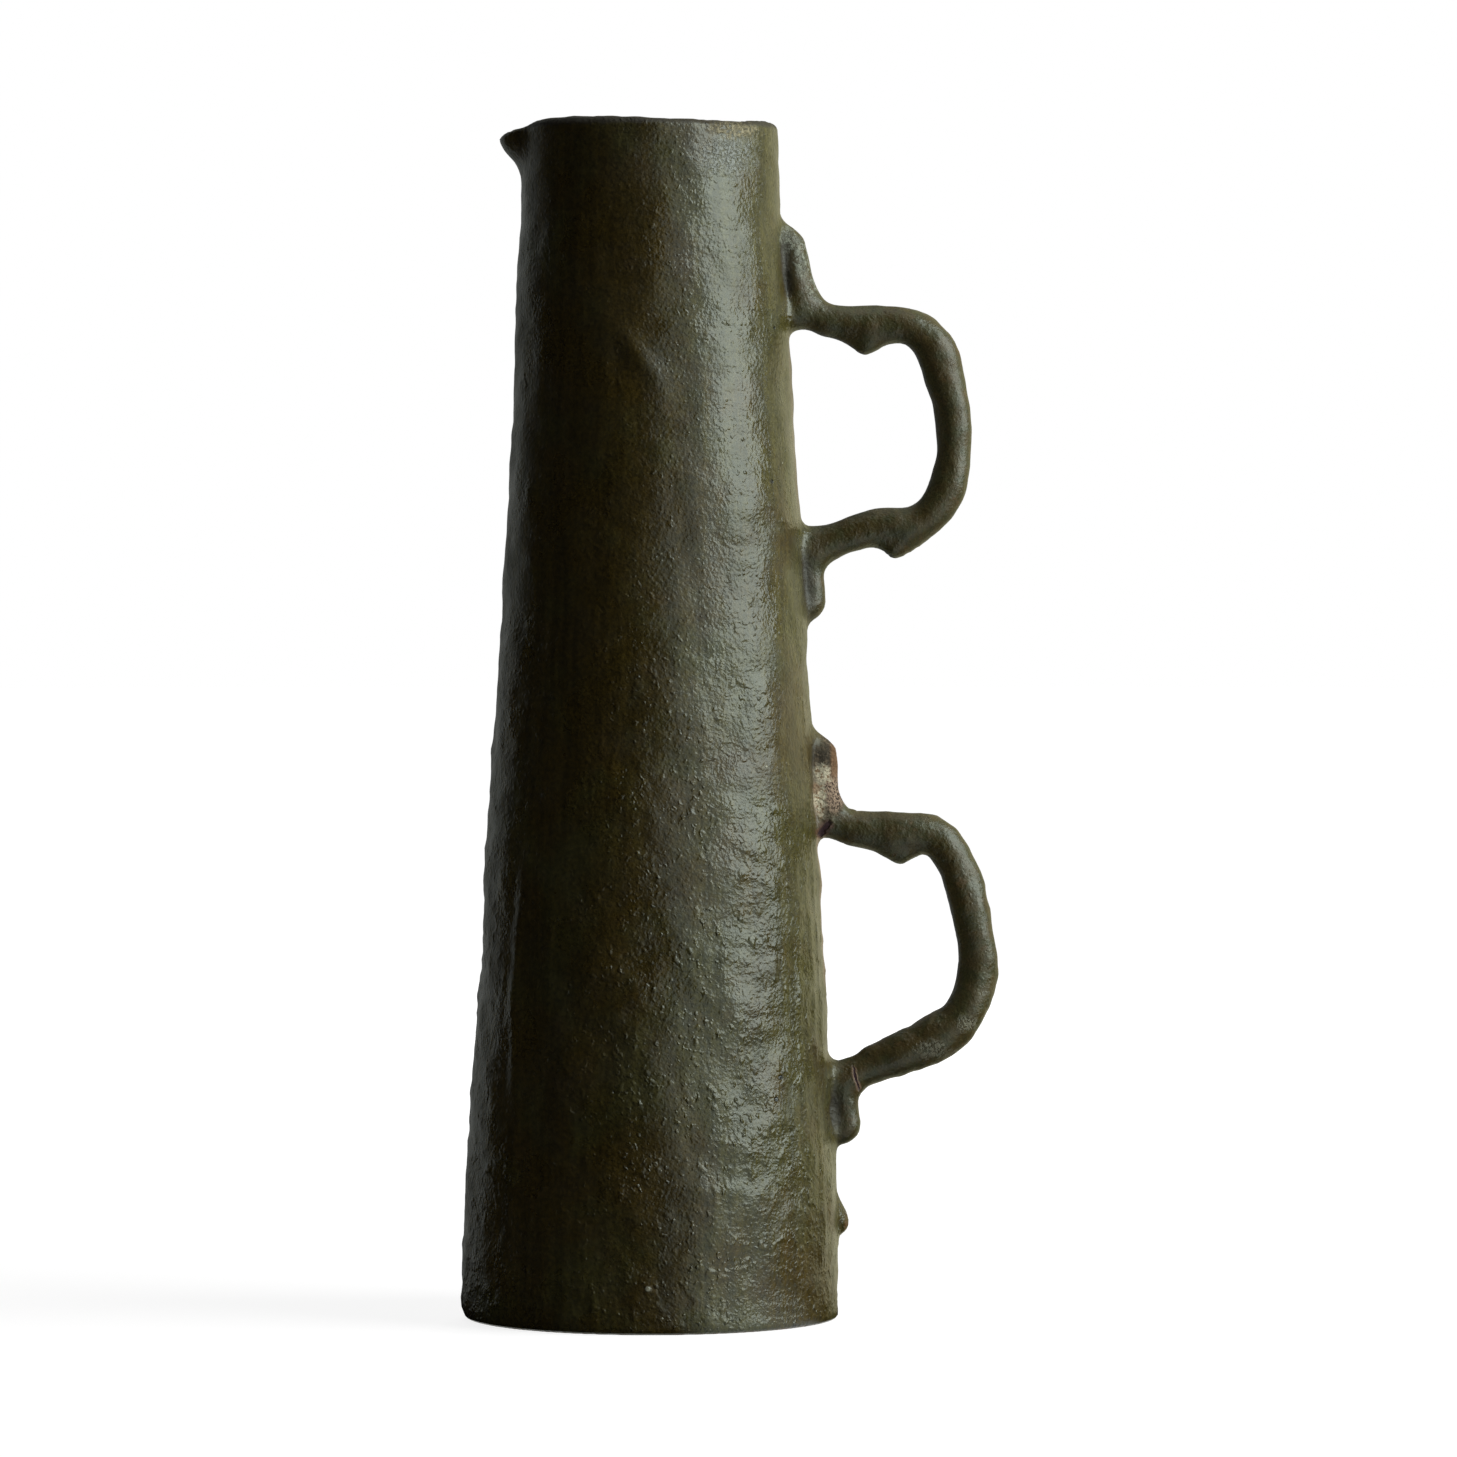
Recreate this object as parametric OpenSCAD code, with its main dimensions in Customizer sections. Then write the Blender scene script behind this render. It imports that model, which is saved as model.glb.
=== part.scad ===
// Tall stoneware pitcher: a tapered hand-built body with a pulled lip, and two handles
// bent like thorny twigs, one above the other on the side away from the lip.
// The body stands on z = 0 round the z axis, the lip points to -x and the handles to +x.

/* [Body] */
// Height of the rim above the foot
height = 480; // [450:5:540]
// Outer radius of the foot
foot_r = 75.5; // [70:0.5:82]
// Outer radius of the neck and the mouth
mouth_r = 51.5; // [47:0.5:58]
// Height of the upright band above the foot, before the wall starts to lean in
foot_band = 45; // [30:1:60]
// Height of the upright band below the rim
neck_band = 35; // [28:1:50]
// Length over which the bands turn into the leaning wall
band_blend = 20; // [10:1:30]
// Thickness of the wall
wall = 6.5; // [5:0.5:9]
// Thickness of the floor
floor_t = 9; // [7:0.5:14]
// Rounding of the outer edge of the foot
foot_round = 1.6; // [1:0.2:3]
// Rounding where the inner wall meets the floor
floor_round = 12; // [8:1:18]

/* [Lip] */
// How far the lip is pulled out beyond the rim
lip_reach = 8.5; // [5:0.5:11]
// How far the tip of the lip drops below the rim
lip_fall = 4.5; // [2:0.5:8]
// How far down the wall the pull starts
lip_length = 22; // [18:1:26]
// Half of the angle that the lip takes from the rim
lip_angle = 23; // [18:1:32]

/* [Both handles] */
// Radius of the clay coil at the grip
coil_r = 7.4; // [6.4:0.1:8.4]
// Share of the coil's radius that is left at its pressed-on ends
end_share = 0.86; // [0.76:0.02:0.94]
// How far the centre of the upper end lies outside the wall
end_seat = 1.5; // [0.5:0.5:3]
// Length over which the coil turns from the wall into an arm
knee_bend = 24; // [20:1:28]
// Length of the end pressed on above the top arm
lap_up = 36; // [32:1:44]
// Length of the end pressed on below the bottom arm
lap_down = 26; // [23:1:32]
// Drop of the bottom arm from its middle to the wall
heel_drop = 11; // [8:1:14]
// How far the middle of the clay pressed into an armpit lies outside the wall
fill_seat = 2.5; // [1.5:0.5:4]
// Height of a thorn above the coil
thorn_h = 4.5; // [3:0.5:6]
// Half of a thorn's length along the coil, at its root inside the coil
thorn_r = 9; // [7:0.5:10]
// Radius of its blunted tip
thorn_tip = 0.8; // [0.6:0.1:1.2]

/* [Upper handle] */
// Distance from the rim down to the middle of the top arm
upper_drop = 81; // [76:1:90]
// Reach of the grip from the wall
upper_reach = 67; // [60:1:76]
// Reach of the top arm's outer bend
upper_arm = 58; // [50:1:64]
// How far the centre of the coil stands off the wall where it turns into the top arm
upper_knee = 7; // [5:0.5:9]
// How far it stands off the wall where the bottom arm turns down
upper_heel = 1; // [0.5:0.5:3]
// Distance from the top arm down to the bottom bend
upper_grip = 81; // [74:1:88]
// Reach of the bottom arm's outer bend
upper_low_arm = 52; // [45:1:60]
// Drop of the bottom arm from its outer bend to its middle
upper_slope = -1; // [-4:1:4]
// Share by which the coil swells in the arms
upper_swell = 0.08; // [0:0.02:0.16]
// Distance of the top arm's thorn from the wall
upper_thorn = 30; // [26:1:36]
// Distance of the bottom arm's thorn from the wall
upper_low_thorn = 37; // [32:1:42]

/* [Lower handle] */
// Height of the middle of its top arm above the foot
lower_rise = 195; // [188:1:204]
// Reach of the grip from the wall
lower_reach = 64; // [58:1:72]
// Reach of the top arm's outer bend
lower_arm = 53; // [46:1:58]
// How far the centre of the coil stands off the wall where it turns into the top arm
lower_knee = 5; // [4:0.5:8]
// How far it stands off the wall where the bottom arm turns down
lower_heel = 4; // [2:0.5:5]
// Distance from the top arm down to the bottom bend
lower_grip = 75; // [70:1:80]
// Reach of the bottom arm's outer bend
lower_low_arm = 58; // [52:1:64]
// Drop of the bottom arm from its outer bend to its middle
lower_slope = 12; // [8:1:15]
// Share by which the coil swells in the arms
lower_swell = 0.18; // [0.08:0.02:0.24]
// Distance of the top arm's thorn from the wall
lower_thorn = 34; // [30:1:40]

/* [Drop near the foot] */
// Height of the drop's lower end above the foot
drop_z = 33; // [28:1:38]
// Length of the drop
drop_length = 26; // [20:1:30]
// Radius of the drop at its fat end
drop_r = 5.2; // [4:0.2:6]
// How deep the axis of the drop lies under the wall's surface
drop_sink = 1; // [0:0.2:2]

/* [Hidden] */

glaze_colour = [0.24, 0.23, 0.15];

columns = 60;       // round the body
column_crowd = 22;  // degrees by which the columns crowd towards the lip
coil_sides = 14;
steps_per_bend = 6;
end_steps = 4;      // over each rounded end of a coil
thorn_sides = 12;
thorn_steps = 4;
thorn_flat = 0.5;   // its width across the coil, as a share of that along it
lip_steps = 6;      // over the pulled part of the wall
edge_steps = 4;     // round the rim, the foot's edge and the floor's corner

rim_r = wall / 2;   // the rim is rounded over the whole wall

// Easing from 0 to 1 with level ends
function ease(t) = let (c = min(1, max(0, t))) c * c * (3 - 2 * c);

// A ramp that turns from level to rising over about twice the blend
function ramp(d) = (d + sqrt(d * d + band_blend * band_blend)) / 2;

// Outer radius of the body at a height: upright, leaning in, upright
lean_from = foot_band;
lean_to = height - neck_band;
lean = (foot_r - mouth_r) / (lean_to - lean_from);
function body_r(z) = foot_r - lean * (ramp(z - lean_from) - ramp(z - lean_to));

// Evenly spaced values from a up to, but without, b
function spaced(a, b, n) = [for (i = [0 : n - 1]) a + (b - a) * i / n];

// Heights of the rings on the wall's two sides, closer where the wall bends
lip_from = height - lip_length;
function wall_heights(bottom, top) = concat(
    spaced(bottom, 2 * foot_band, 5),
    spaced(2 * foot_band, height - 2 * neck_band, 3),
    spaced(height - 2 * neck_band, lip_from, 4),
    spaced(lip_from, top, lip_steps),
    [top]
);
function reversed(list) = [for (i = [len(list) - 1 : -1 : 0]) list[i]];

// Half of the body's section as [radius, height], from the foot up the outside,
// over the rim and down the inside to the floor
rim_z = height - rim_r;
floor_corner_z = floor_t + floor_round;
section = concat(
    [for (i = [0 : edge_steps - 1]) let (a = 90 * i / edge_steps)
        [body_r(foot_round) - foot_round * (1 - sin(a)), foot_round * (1 - cos(a))]],
    [for (z = wall_heights(foot_round, rim_z)) [body_r(z), z]],
    [for (i = [1 : 2 * edge_steps - 1]) let (a = 90 * i / edge_steps)
        [body_r(rim_z) - rim_r + rim_r * cos(a), rim_z + rim_r * sin(a)]],
    [for (z = reversed(wall_heights(floor_corner_z, rim_z))) [body_r(z) - wall, z]],
    [for (i = [1 : edge_steps]) let (a = 90 * i / edge_steps)
        [body_r(floor_corner_z) - wall - floor_round * (1 - cos(a)),
         floor_corner_z - floor_round * sin(a)]]
);

// A point of the section, turned to an angle from the lip and pulled out and down there
function pulled(p, angle) = let (
        side = ease(1 - abs(angle) / lip_angle),
        up = max(0, p[1] - lip_from) / lip_length,
        r = p[0] + lip_reach * side * ease(up)
    )
    [-r * cos(angle), -r * sin(angle), p[1] - lip_fall * side * up];

// Angle of a column from the lip, between -180 and 180
function column_angle(i) = let (a = 360 * i / columns - 180) a - column_crowd * sin(a);

// Quads between rings of points, split into triangles, and a fan over each end
function skin(rings, sides) = concat(
    [[for (i = [0 : sides - 1]) i]],
    [for (j = [0 : rings - 2], i = [0 : sides - 1])
        let (a = j * sides + i, b = j * sides + (i + 1) % sides)
        each [[a, b + sides, b], [a, a + sides, b + sides]]],
    [[for (i = [sides - 1 : -1 : 0]) (rings - 1) * sides + i]]
);

// The thrown wall, floor, rim and pulled lip
module body() {
    polyhedron(
        points = [for (p = section, i = [0 : columns - 1]) pulled(p, column_angle(i))],
        faces = skin(len(section), columns)
    );
}

// A point on the parabola that rounds the corner at b
function bend(a, b, c, t) =
    let (start = (a + b) / 2, end = (b + c) / 2)
    start * (1 - t) * (1 - t) + 2 * b * t * (1 - t) + end * t * t;

// A smooth line through a chain of corners, straight to its two ends
function bent_line(corners) = concat(
    [corners[0]],
    [for (k = [1 : len(corners) - 2], i = [0 : steps_per_bend - 1])
        bend(corners[k - 1], corners[k], corners[k + 1], i / steps_per_bend)],
    [(corners[len(corners) - 2] + corners[len(corners) - 1]) / 2],
    [corners[len(corners) - 1]]
);

// Corners of a handle's line, as [distance from the wall, height from the top arm]
function handle_corners(reach, arm, grip, low_arm, slope, knee, heel) = [
    [end_seat, lap_up],
    [knee, 0.4 * coil_r],
    [knee + knee_bend, 0],
    [arm, 0],
    [reach, -0.59 * grip],
    [low_arm, -grip],
    [low_arm - knee_bend, -grip - slope],
    [heel, -grip - slope - heel_drop],
    [heel, -grip - slope - heel_drop - lap_down]
];

// A place given like the corners, on the real, leaning wall
function on_wall(place, top_z) = [body_r(top_z + place[1]) + place[0], top_z + place[1]];

// Rounds the ends of the line: extra points in its first and last coil radius
function with_round_ends(line) = let (
        last = len(line) - 1,
        head = (line[1] - line[0]) * coil_r / norm(line[1] - line[0]),
        tail = (line[last - 1] - line[last]) * coil_r / norm(line[last - 1] - line[last])
    )
    concat(
        [for (i = [0 : end_steps - 1]) line[0] + head * (1 - cos(90 * i / end_steps))],
        [for (i = [1 : last - 1]) line[i]],
        [for (i = [end_steps - 1 : -1 : 0]) line[last] + tail * (1 - cos(90 * i / end_steps))]
    );

// Share of the coil's radius at ring i: rounded ends, slim grip, fuller arms
function coil_share(i, count, swell) = let (
        from_end = min(i, count - 1 - i),
        along = i / (count - 1),
        taper = end_share + (1 - end_share) * ease(3.2 * min(along, 1 - along)),
        full = 1 + swell * pow(sin(360 * along), 2) * (0.6 + 0.8 * along),
        cap = from_end < end_steps ? sin(20 + 70 * from_end / end_steps) : 1
    )
    taper * full * cap;

// A coil of clay along a line in the xz plane
module coil(line, swell) {
    count = len(line);
    points = [for (i = [0 : count - 1])
        let (
            before = line[max(0, i - 1)],
            after = line[min(count - 1, i + 1)],
            along = (after - before) / norm(after - before),
            r = coil_r * coil_share(i, count, swell)
        )
        for (j = [0 : coil_sides - 1])
        let (a = 360 * j / coil_sides)
        [line[i][0] + r * cos(a) * along[1], r * sin(a), line[i][1] - r * cos(a) * along[0]]
    ];
    polyhedron(points = points, faces = skin(count, coil_sides));
}

// A thorn pinched out of the coil's underside, flat like a rose's: its root lies inside the coil
module thorn(place) {
    root = coil_r * 0.6;
    rise = coil_r + thorn_h - root;
    polyhedron(
        points = [for (i = [0 : thorn_steps], j = [0 : thorn_sides - 1])
            let (
                t = i / thorn_steps,
                r = thorn_r - (thorn_r - thorn_tip) * pow(t, 0.62),
                a = 360 * j / thorn_sides
            )
            [place[0] + r * cos(a), -r * thorn_flat * sin(a), place[1] - root - rise * t]],
        faces = skin(thorn_steps + 1, thorn_sides)
    );
}

// Clay pressed into an armpit of a handle
module fill(place) {
    translate([place[0], 0, place[1]]) sphere(r = 0.96 * coil_r, $fn = 32);
}

// One handle, its thorns given like its corners
module handle(top_z, corners, swell, thorns) {
    coil(with_round_ends(bent_line([for (c = corners) on_wall(c, top_z)])), swell);
    for (t = thorns) thorn(on_wall(t, top_z));
    fill(on_wall([fill_seat, 0.7 * coil_r], top_z));
    // the lower one sits deeper the more the bottom arm slopes
    fill(on_wall([fill_seat, corners[7][1] + 0.4 * coil_r + (corners[6][1] - corners[5][1]) / 4], top_z));
}

module upper_handle() {
    handle(
        height - upper_drop,
        handle_corners(upper_reach, upper_arm, upper_grip, upper_low_arm, upper_slope,
                       upper_knee, upper_heel),
        upper_swell,
        [[upper_thorn, 0], [upper_low_thorn, -upper_grip]]
    );
}

module lower_handle() {
    handle(
        lower_rise,
        handle_corners(lower_reach, lower_arm, lower_grip, lower_low_arm, lower_slope,
                       lower_knee, lower_heel),
        lower_swell,
        [[lower_thorn, -1]]
    );
}

// A drop of clay on the wall under the handles, turned about its own leaning axis
module drop() {
    low = drop_z + drop_r;
    high = drop_z + drop_length;
    tilt = atan2(body_r(low) - body_r(high) + 2 * drop_r / 3, high - low);
    translate([body_r(low) - drop_sink, 0, low])
        rotate([0, -tilt, 0])
        rotate_extrude($fn = 48)
        polygon(concat(
            [for (i = [0 : 6]) drop_r * [sin(15 * i), -cos(15 * i)]],
            [for (i = [1 : 6]) [drop_r * (1 - ease(i / 6)), (high - low) * i / 6]]
        ));
}

// Everything fired as one piece
module pitcher() {
    color(glaze_colour)
    union() {
        body();
        upper_handle();
        lower_handle();
        drop();
    }
}

pitcher();
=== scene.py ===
"""A tall stoneware pitcher with a pulled lip and two handles bent like thorny twigs.

The clay is one fired piece: a rough shape is remeshed and then settled onto smooth formulas for
the wall, the coils and the clay pressed between them. All sizes are in metres.
"""

import math

import bmesh
import bpy
import numpy as np
from bpy.props import FloatProperty, FloatVectorProperty, PointerProperty
from mathutils import Euler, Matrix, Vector, noise


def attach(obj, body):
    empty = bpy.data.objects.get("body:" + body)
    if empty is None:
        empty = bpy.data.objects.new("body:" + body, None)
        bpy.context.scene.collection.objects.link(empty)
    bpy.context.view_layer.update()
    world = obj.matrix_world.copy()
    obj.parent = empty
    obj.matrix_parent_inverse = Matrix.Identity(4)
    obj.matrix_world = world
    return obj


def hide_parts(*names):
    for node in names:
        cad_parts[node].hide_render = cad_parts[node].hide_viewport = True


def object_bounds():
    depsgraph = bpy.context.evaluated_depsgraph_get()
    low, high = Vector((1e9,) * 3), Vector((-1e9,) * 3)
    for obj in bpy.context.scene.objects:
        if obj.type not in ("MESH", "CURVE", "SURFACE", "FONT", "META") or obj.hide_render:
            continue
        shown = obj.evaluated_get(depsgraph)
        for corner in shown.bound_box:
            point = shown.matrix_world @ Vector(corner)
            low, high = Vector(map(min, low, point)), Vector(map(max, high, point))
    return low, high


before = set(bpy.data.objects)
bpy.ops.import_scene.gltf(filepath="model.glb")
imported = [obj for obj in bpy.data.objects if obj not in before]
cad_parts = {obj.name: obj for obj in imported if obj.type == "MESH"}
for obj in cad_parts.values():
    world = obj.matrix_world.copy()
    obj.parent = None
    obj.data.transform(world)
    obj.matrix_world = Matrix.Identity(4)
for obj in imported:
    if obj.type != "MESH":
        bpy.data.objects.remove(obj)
cad_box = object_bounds()

bl_info = {
    "name": "Twig Handle Pitcher",
    "version": (1, 0, 0),
    "blender": (4, 5, 0),
    "location": "3D View > Sidebar > Pitcher",
    "description": "Builds a glazed stoneware pitcher with two thorny twig handles",
    "category": "Add Mesh",
}


# Sizes and colours


def length(name, description, default):
    return FloatProperty(name=name, description=description, default=default, precision=4,
                         subtype="DISTANCE", unit="LENGTH")


def share(name, description, default):
    return FloatProperty(name=name, description=description, default=default)


def power(name, description, default):
    return FloatProperty(name=name, description=description, default=default, subtype="POWER", unit="POWER")


def colour(name, description, default):
    return FloatVectorProperty(name=name, description=description, default=(*default, 1),
                               size=4, min=0, max=1, subtype="COLOR")


class BodySizes(bpy.types.PropertyGroup):
    height: length("Height", "Height of the rim above the foot", round(cad_box[1].z, 4))
    foot_radius: length("Foot radius", "Outer radius of the foot", 0.0755)
    mouth_radius: length("Mouth radius", "Outer radius of the neck and the mouth", 0.0515)
    foot_band: length("Foot band", "Height of the upright band above the foot", 0.045)
    neck_band: length("Neck band", "Height of the upright band below the rim", 0.035)
    band_blend: length("Band blend", "Length over which a band turns into the leaning wall", 0.020)
    wall: length("Wall", "Thickness of the wall", 0.0065)
    floor: length("Floor", "Thickness of the floor", 0.009)
    foot_round: length("Foot rounding", "Rounding of the foot's outer edge", 0.0016)
    floor_round: length("Floor rounding", "Rounding between the inner wall and the floor", 0.012)


class LipSizes(bpy.types.PropertyGroup):
    reach: length("Reach", "How far the lip is pulled out beyond the rim", 0.0085)
    fall: length("Fall", "How far the tip of the lip drops below the rim", 0.0045)
    length: length("Length", "How far down the wall the pull starts", 0.022)
    angle: FloatProperty(name="Half angle", description="Half of the angle the lip takes from the rim",
                         default=math.radians(23), subtype="ANGLE", unit="ROTATION")


class CoilSizes(bpy.types.PropertyGroup):
    radius: length("Coil radius", "Radius of the clay coil at the grip", 0.0074)
    end_share: share("End share", "Share of the coil's radius left at its pressed-on ends", 0.86)
    end_seat: length("End seat", "How far the middle of the upper end lies outside the wall", 0.0029)
    knee_bend: length("Knee bend", "Length over which the coil turns from the wall into an arm", 0.024)
    lap_up: length("Upper lap", "Length of the end pressed on above the top arm", 0.0374)
    lap_down: length("Lower lap", "Length of the end pressed on below the bottom arm", 0.026)
    heel_drop: length("Heel drop", "Drop of the bottom arm from its middle to the wall", 0.011)
    fill_seat: length("Fill seat", "How far the clay in an armpit lies outside the wall", 0.0025)
    thorn_height: length("Thorn height", "Height of a thorn above the coil", 0.0052)
    thorn_half: length("Thorn half length", "Half of a thorn's length along the coil", 0.0102)
    thorn_round: length("Thorn rounding", "Bluntness of its tip", 0.0040)
    smear: length("Smear", "Size of the clay smeared onto the wall beyond each end", 0.0048)
    sway: length("Sway", "How far the hand-rolled coil wanders to either side", 0.0009)


class UpperHandle(bpy.types.PropertyGroup):
    top: length("Top", "Height of the middle of the top arm", 0.399)
    reach: length("Reach", "Reach of the grip from the wall", 0.067)
    arm: length("Arm", "Reach of the top arm's outer bend", 0.058)
    knee: length("Knee", "Stand-off of the coil where it turns into the top arm", 0.007)
    heel: length("Heel", "Stand-off of the coil where the bottom arm turns down", 0.001)
    grip: length("Grip", "Distance from the top arm down to the bottom bend", 0.081)
    low_arm: length("Low arm", "Reach of the bottom arm's outer bend", 0.052)
    slope: length("Slope", "Drop of the bottom arm from its outer bend to its middle", -0.001)
    swell: share("Swell", "Share by which the coil swells in the arms", 0.08)
    thorn: length("Thorn", "Distance of the top arm's thorn from the wall", 0.0316)
    low_thorn: length("Low thorn", "Distance of the bottom arm's thorn from the wall", 0.037)
    thorn_share: share("Thorn share", "Share of the full thorn height", 0.96)


class LowerHandle(bpy.types.PropertyGroup):
    top: length("Top", "Height of the middle of the top arm", 0.195)
    reach: length("Reach", "Reach of the grip from the wall", 0.064)
    arm: length("Arm", "Reach of the top arm's outer bend", 0.053)
    knee: length("Knee", "Stand-off of the coil where it turns into the top arm", 0.005)
    heel: length("Heel", "Stand-off of the coil where the bottom arm turns down", 0.004)
    grip: length("Grip", "Distance from the top arm down to the bottom bend", 0.075)
    low_arm: length("Low arm", "Reach of the bottom arm's outer bend", 0.058)
    slope: length("Slope", "Drop of the bottom arm from its outer bend to its middle", 0.012)
    swell: share("Swell", "Share by which the coil swells in the arms", 0.18)
    thorn: length("Thorn", "Distance of the top arm's thorn from the wall", 0.034)
    thorn_share: share("Thorn share", "Share of the full thorn height", 0.66)


class DropSizes(bpy.types.PropertyGroup):
    low: length("Low end", "Height of the drop's lower end above the foot", 0.033)
    length: length("Length", "Length of the drop", 0.026)
    radius: length("Radius", "Radius of the drop at its fat end", 0.0052)
    sink: length("Sink", "How deep the drop's axis lies under the wall's surface", 0.001)


class SkinSizes(bpy.types.PropertyGroup):
    grain: length("Mesh grain", "Edge length of the settled mesh", 0.0019)
    inside: share("Inside share", "Share of the faces kept on the inner wall and the underside", 0.15)
    crease: length("Crease", "Width over which a coil runs into the wall", 0.0022)
    press: length("Press", "Width over which the pressed-in clay runs out", 0.006)
    smear: length("Smear", "Width over which the smeared clay runs out", 0.0055)
    bow: length("Bow", "How far the body bows to the handles at two thirds of its height", 0.0012)
    neck_lean: length("Neck lean", "How far the neck leans back to the lip", 0.0008)
    swell: length("Swell", "Height of the wide, shallow waves of the wall", 0.0011)
    lump: length("Lump", "Height of the finger-wide lumps", 0.00046)
    dimple: length("Dimple", "Depth of the flat dimples that the fingers left", 0.00043)
    pebble: length("Pebble", "Height of the small lumps under the glaze", 0.00050)
    wave: length("Wave", "Height of the hand-wide waves", 0.0010)
    roll: length("Roll", "Unevenness of the hand-rolled coils", 0.0008)
    rim: length("Rim", "Unevenness of the rim", 0.0012)


class GlazeLook(bpy.types.PropertyGroup):
    olive: colour("Olive", "Colour of the glaze where it lies thick", (0.065, 0.058, 0.013))
    brown: colour("Brown", "Colour of its brown clouds", (0.060, 0.041, 0.006))
    green: colour("Green", "Colour of its grey-green film", (0.084, 0.092, 0.050))
    # dark colour for a line over the rim and for painted shade in the creases
    rim_line_and_crease_shade: colour("Umber", "Colour at the rim and in the creases", (0.020, 0.012, 0.006))
    rust: colour("Rust", "Colour where it breaks thin over an edge", (0.170, 0.085, 0.030))
    crust: colour("Crust", "Colour of pale, unmelted glaze", (0.330, 0.330, 0.235))
    clay: colour("Clay", "Colour of the bare, fired clay", (0.340, 0.235, 0.160))
    crack: colour("Crack", "Colour deep in a crack", (0.035, 0.008, 0.012))


class Studio(bpy.types.PropertyGroup):
    span: length("Span", "Width that the camera sees at the pitcher", 0.586)
    key_power: power("Key power", "Power of the large soft lamp on the right", 25.8)
    back_power: power("Back power", "Power of the large lamp behind", 16)
    room: share("Room light", "Strength of the light from all round", 0.09)


class PitcherSettings(bpy.types.PropertyGroup):
    body: PointerProperty(type=BodySizes)
    lip: PointerProperty(type=LipSizes)
    coils: PointerProperty(type=CoilSizes)
    upper: PointerProperty(type=UpperHandle)
    lower: PointerProperty(type=LowerHandle)
    drop: PointerProperty(type=DropSizes)
    skin: PointerProperty(type=SkinSizes)
    glaze: PointerProperty(type=GlazeLook)
    studio: PointerProperty(type=Studio)


# The clay's formulas


def ease(t):
    """From 0 to 1 with level ends."""
    c = np.clip(t, 0, 1)
    return c * c * (3 - 2 * c)


def soft_min(a, b, width):
    """The lesser of two distances, rounded where they meet: clay pressed together."""
    h = np.maximum(width - np.abs(a - b), 0) / width
    return np.minimum(a, b) - h * h * width / 4


def soft_max(a, b, width):
    return -soft_min(-a, -b, width)


def body_radius(body, z):
    """Outer radius at a height: upright, leaning in, upright."""
    def ramp(d):
        return (d + np.sqrt(d * d + body.band_blend ** 2)) / 2

    lean_from, lean_to = body.foot_band, body.height - body.neck_band
    lean = (body.foot_radius - body.mouth_radius) / (lean_to - lean_from)
    return body.foot_radius - lean * (ramp(z - lean_from) - ramp(z - lean_to))


def lip_share(lip, x, y):
    """1 in the middle of the lip, 0 beside it."""
    return ease(1 - np.abs(np.arctan2(y, -x)) / lip.angle)


def rounded(corners, steps=10):
    """A line whose corners are turned into even bends."""
    line = [corners[0]]
    for a, b, c in zip(corners, corners[1:], corners[2:]):
        start, end = (a + b) / 2, (b + c) / 2
        for t in np.arange(steps) / steps:
            line.append(start * (1 - t) ** 2 + 2 * b * t * (1 - t) + end * t * t)
    return np.array(line + [(corners[-2] + corners[-1]) / 2, corners[-1]])


def ball(p, x, z, radius, width=1.0):
    """Distance from a ball on the handles' side, made wider to either side where width is less than 1."""
    return np.sqrt((p[:, 0] - x) ** 2 + (p[:, 1] * width) ** 2 + (p[:, 2] - z) ** 2) - radius


def by_handles(pitcher, p, nearest=0.9, widest=3):
    """Which points lie near the handles: past a share of the mouth, within some coil radii sideways."""
    beside = np.abs(p[:, 1]) < widest * pitcher.coils.radius
    return np.flatnonzero((p[:, 0] > pitcher.body.mouth_radius * nearest) & beside)


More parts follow.
